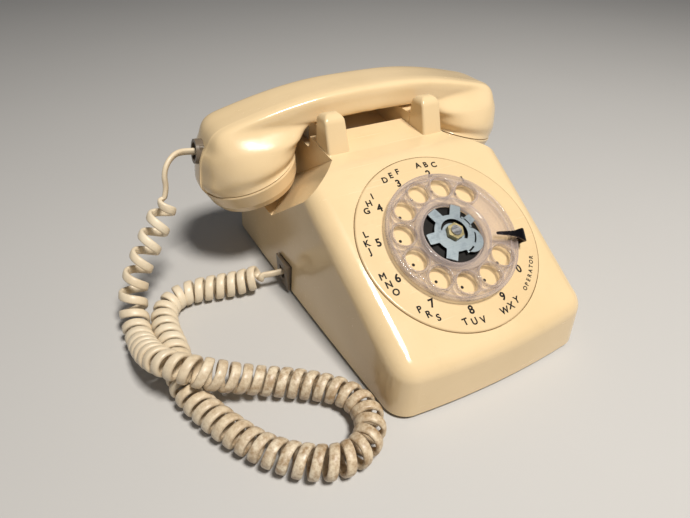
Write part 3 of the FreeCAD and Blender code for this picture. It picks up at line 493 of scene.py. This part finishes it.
def band(inner, outer, start, end, middle=(0, 0), count=12):
    """A curved slot with blunt ends."""
    steps = [start + (end - start) * i / count for i in range(count + 1)]
    return [polar(outer, a, middle) for a in steps] + [polar(inner, a, middle) for a in reversed(steps)]


def flat_mesh(loops, z0, z1, edge):
    """A flat piece cut to closed loops, the first outside and the rest holes, with rounded edges."""
    curve = bpy.data.curves.new("flat", "CURVE")
    curve.dimensions = "2D"
    curve.fill_mode = "BOTH"
    for loop in loops:
        spline = curve.splines.new("POLY")
        spline.points.add(len(loop) - 1)
        for point, (x, y) in zip(spline.points, loop):
            point.co = (x, y, 0, 1)
        spline.use_cyclic_u = True
    curve.bevel_depth = edge
    curve.bevel_resolution = 2
    curve.extrude = (z1 - z0) / 2 - edge
    holder = bpy.data.objects.new("flat", curve)
    mesh = bpy.data.meshes.new_from_object(holder)
    bpy.data.objects.remove(holder)
    mesh.transform(Matrix.Translation((0, 0, (z0 + z1) / 2)))
    return mesh


def add_turned(bm, profile, middle=(0, 0), count=64):
    """A body turned about an upright axis from a closed profile of (radius, height)."""
    rings = []
    for radius, z in profile:
        rings.append([bm.verts.new((*polar(radius, 360 * i / count, middle), z)) for i in range(count)])
    for a, b in zip(rings, rings[1:] + rings[:1]):
        for i in range(count):
            j = (i + 1) % count
            bm.faces.new((a[i], a[j], b[j], b[i]))


def dome(inner, outer, z0, z1, count=8):
    """Profile of a ring with a rounded top."""
    middle, half = (inner + outer) / 2, (outer - inner) / 2
    arc = [math.pi * i / count for i in range(count + 1)]
    top = [(middle + half * math.cos(a), z1 - half + half * math.sin(a)) for a in arc]
    return [(inner, z0), (outer, z0)] + top


def dial_piece(name, bm, body, slot, ink=None, smooth=40):
    bmesh.ops.recalc_face_normals(bm, faces=bm.faces)
    mesh = bpy.data.meshes.new(name)
    bm.to_mesh(mesh)
    bm.free()
    mesh.transform(ON_FACE)
    mesh.set_sharp_from_angle(angle=math.radians(smooth))
    obj = mesh_object(name, mesh)
    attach(obj, body)
    paint(obj, ink or slot)
    return obj


def add_glyph(bm, text, size, place, turn=0.0):
    """One printed character, centred on its place."""
    curve = bpy.data.curves.new("glyph", "FONT")
    curve.body = text
    curve.size = size
    curve.bevel_depth = 0.036 * size
    curve.bevel_resolution = 1
    curve.resolution_u = 4
    holder = bpy.data.objects.new("glyph", curve)
    mesh = bpy.data.meshes.new_from_object(holder)
    bpy.data.objects.remove(holder)
    xs = [v.co.x for v in mesh.vertices]
    ys = [v.co.y for v in mesh.vertices]
    middle = Vector(((min(xs) + max(xs)) / 2, (min(ys) + max(ys)) / 2, 0))
    flat = Matrix.Diagonal((1, 1, 0.2, 1))
    move = Matrix.Translation((*place, PRINT_Z))
    mesh.transform(move @ Matrix.Rotation(turn, 4, "Z") @ flat @ Matrix.Translation(-middle))
    bm.from_mesh(mesh)


def make_print():
    bm = bmesh.new()
    for i, digit in enumerate(DIGITS):
        add_glyph(bm, digit, DIGIT_SIZE, polar(DIGIT_R, FIRST_DIGIT + DIGIT_STEP * i))
    for i, word in enumerate(WORDS):
        middle = FIRST_DIGIT + DIGIT_STEP * (i + 1)
        step = -LETTER_STEP if middle < 180 else LETTER_STEP     # each word reads from left to right
        for j, letter in enumerate(word):
            add_glyph(bm, letter, LETTER_SIZE, polar(LETTER_R, middle + step * (j - 1)))
    for i, letter in enumerate("OPERATOR"):
        angle = OPERATOR_START + OPERATOR_STEP * i
        add_glyph(bm, letter, OPERATOR_SIZE, polar(OPERATOR_R, angle), math.radians(angle + 90))
    for i in range(10):
        spot = polar(DOT_CIRCLE, FIRST_DOT + DOT_STEP * i)
        bm.faces.new([bm.verts.new((*point, PRINT_Z)) for point in circle(DOT_R, spot, 14)])
    dial_piece("plate_print", bm, "base", "rubber", "ink")


def make_fingerwheel():
    """Clear wheel: a disc with ten holes, a rounded rim on each, an outer ridge and a thick hub ring."""
    bm = bmesh.new()
    loops = [circle(38.0, count=120)]
    loops += [circle(HOLE_R + 0.1, polar(HOLE_CIRCLE, a), 40) for a in HOLE_ANGLES]
    loops.append(circle(17.4, count=96))
    bm.from_mesh(flat_mesh(loops, 3.7, 5.2, 0.3))
    for angle in HOLE_ANGLES:
        add_turned(bm, dome(HOLE_R, HOLE_R + 1.15, 3.6, 6.7), polar(HOLE_CIRCLE, angle), 48)
    add_turned(bm, dome(36.3, 38.1, 2.9, 6.5), count=120)
    add_turned(bm, dome(33.9, 34.7, 5.1, 5.7), count=120)
    add_turned(bm, dome(17.9, 22.0, 3.7, 8.0), count=96)
    add_turned(bm, [(16.9, 3.9), (18.2, 3.9), (18.2, 4.7), (16.9, 4.7)], count=96)
    wheel = dial_piece("clear_wheel", bm, "dial", "clear_plastic")
    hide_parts("fingerwheel")


# the clamp plate: angle, width and reach of each arm, and middle and radius of its lobe
ARMS = [(57, 6.0, 17.7), (112, 6.2, 16.6), (178, 6.2, 16.0), (237, 6.4, 16.2), (20, 5.0, 16.6)]
LOBE = ((7.6, -6.4), 7.4)


def clamp_outline():
    """Outline of the clamp plate: a disc with straight arms and one round lobe."""
    middle, lobe_r = Vector(LOBE[0]), LOBE[1]
    points = []
    for degrees in range(0, 360, 2):
        reach = 11.0
        for angle, width, length in ARMS:
            t = math.radians((degrees - angle + 180) % 360 - 180)
            if abs(t) < 1.4:
                side = width / 2 / max(abs(math.sin(t)), 1e-6)
                reach = max(reach, min(side, length / math.cos(t)))
        toward = Vector(polar(1, degrees)).dot(middle)
        inside = lobe_r ** 2 - middle.length_squared + toward ** 2
        if inside > 0:
            reach = max(reach, toward + math.sqrt(inside))
        points.append(polar(reach, degrees))
    return points


def painted_shadow_crescent():
    """The curved window beside the nut, through which the black flange shows: a painted shadow standing for
    the shaded wall of the dish round the nut.
    """
    outer = [polar(7.9, a, (0.9, 0.6)) for a in range(-50, 156, 6)]
    inner = [polar(6.4, a, (-0.5, -0.4)) for a in range(150, -46, -6)]
    return outer + inner


def make_clamp():
    """Stamped plate that clamps the wheel, over the dark flange of the shaft."""
    bm = bmesh.new()
    # the first cut is painted shadow: the black flange below shows through it where the dish round the nut is
    # in shade
    slots = [painted_shadow_crescent(), band(11.6, 12.4, 2, 38), band(12.2, 13.2, -44, -14), band(12.2, 13.2, -80, -56)]
    bm.from_mesh(flat_mesh([clamp_outline()] + slots, 4.9, 5.8, 0.15))
    clamp = dial_piece("stamped_clamp", bm, "dial", "zinc")
    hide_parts("clamp_plate")
    bm = bmesh.new()
    flange = [(4.95, 2.6), (17.2, 2.6), (17.6, 2.9), (17.2, 3.1), (15.0, 2.9), (12.0, 3.3), (4.95, 3.3)]
    add_turned(bm, flange, count=96)
    dial_piece("shaft_flange", bm, "dial", "rubber", "ink")


STOP_ANGLE = -20.5
# radius, height, half width and half thickness of the finger stop, from its tip to its foot
STOP_PATH = [(24.0, 8.5, 0.8, 0.45), (27.0, 8.8, 1.0, 0.6), (31.0, 9.1, 1.2, 0.7), (34.5, 9.3, 1.6, 0.7),
             (37.5, 9.3, 2.9, 0.7), (40.2, 8.9, 4.0, 0.7), (41.6, 7.4, 3.6, 0.7), (41.9, 4.0, 2.3, 0.7),
             (41.8, 0.8, 2.0, 0.7)]


def make_finger_stop():
    """A tapered blade over the wheel that turns down to the number plate beside it."""
    bm = bmesh.new()
    rings = []
    for i, (radius, z, half, thick) in enumerate(STOP_PATH):
        before, after = STOP_PATH[max(i - 1, 0)], STOP_PATH[min(i + 1, len(STOP_PATH) - 1)]
        run, rise = after[0] - before[0], after[1] - before[1]
        length = math.hypot(run, rise)
        up_r, up_z = -rise / length * thick, run / length * thick
        corners = [(-half, 1), (half, 1), (half, -1), (-half, -1)]
        rings.append([bm.verts.new((radius + up_r * s, w, z + up_z * s)) for w, s in corners])
    for a, b in zip(rings, rings[1:]):
        for i in range(4):
            bm.faces.new((a[i], a[(i + 1) % 4], b[(i + 1) % 4], b[i]))
    bm.faces.new(rings[0])
    bm.faces.new(rings[-1][::-1])
    bmesh.ops.bevel(bm, geom=bm.edges[:], offset=0.3, segments=2, affect="EDGES", clamp_overlap=True)
    turn = Matrix.Rotation(math.radians(STOP_ANGLE), 3, "Z")
    bmesh.ops.rotate(bm, verts=bm.verts, cent=(0, 0, 0), matrix=turn)
    stop = dial_piece("stop_blade", bm, "base", "dark_steel")
    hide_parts("finger_stop")


make_print()
make_fingerwheel()
make_clamp()
make_finger_stop()

# ------------------------------------------------------------------ softened edges

def soften(name, width):
    """Rounds the sharp edges of a CAD piece with a modifier."""
    bevel = nodes[name].modifiers.new("soft edges", "BEVEL")
    bevel.width = width
    bevel.segments = 2
    bevel.limit_method = "ANGLE"
    bevel.angle_limit = math.radians(35)


soften("center_nut", 0.0003)

# ------------------------------------------------------------------ floor and light

def make_stage():
    bm = bmesh.new()
    bmesh.ops.create_grid(bm, x_segments=1, y_segments=1, size=6.0)
    mesh = bpy.data.meshes.new("floor")
    bm.to_mesh(mesh)
    bm.free()
    floor = mesh_object("floor", mesh)
    pale = Surface("pale_floor")
    pale.drive("Base Color", pale.mix(pale.noise(3.0, 3.0), (0.50, 0.49, 0.475), (0.53, 0.52, 0.505)))
    pale.set(Roughness=0.75)
    mesh.materials.append(pale.material)


LIT_POINT = (0, 0, 0.05)


def area_light(name, place, size, power, colour=(1, 1, 1)):
    data = bpy.data.lights.new(name, "AREA")
    data.size = size
    data.energy = power
    data.color = colour
    light = link(bpy.data.objects.new(name, data))
    light.location = place
    light.rotation_mode = "QUATERNION"
    light.rotation_quaternion = (Vector(LIT_POINT) - Vector(place)).to_track_quat("-Z", "Y")


make_stage()
area_light("key", (0.13, -0.50, 1.20), 0.26, 20.5, (1.0, 0.96, 0.90))
area_light("fill", (-1.0, -0.8, 0.7), 1.2, 0.6)
world = bpy.data.worlds.new("world")
world.use_nodes = True
background = world.node_tree.nodes["Background"]
background.inputs["Color"].default_value = (0.93, 0.95, 1.0, 1)
background.inputs["Strength"].default_value = 0.11
scene.world = world
scene.view_settings.view_transform = "Standard"
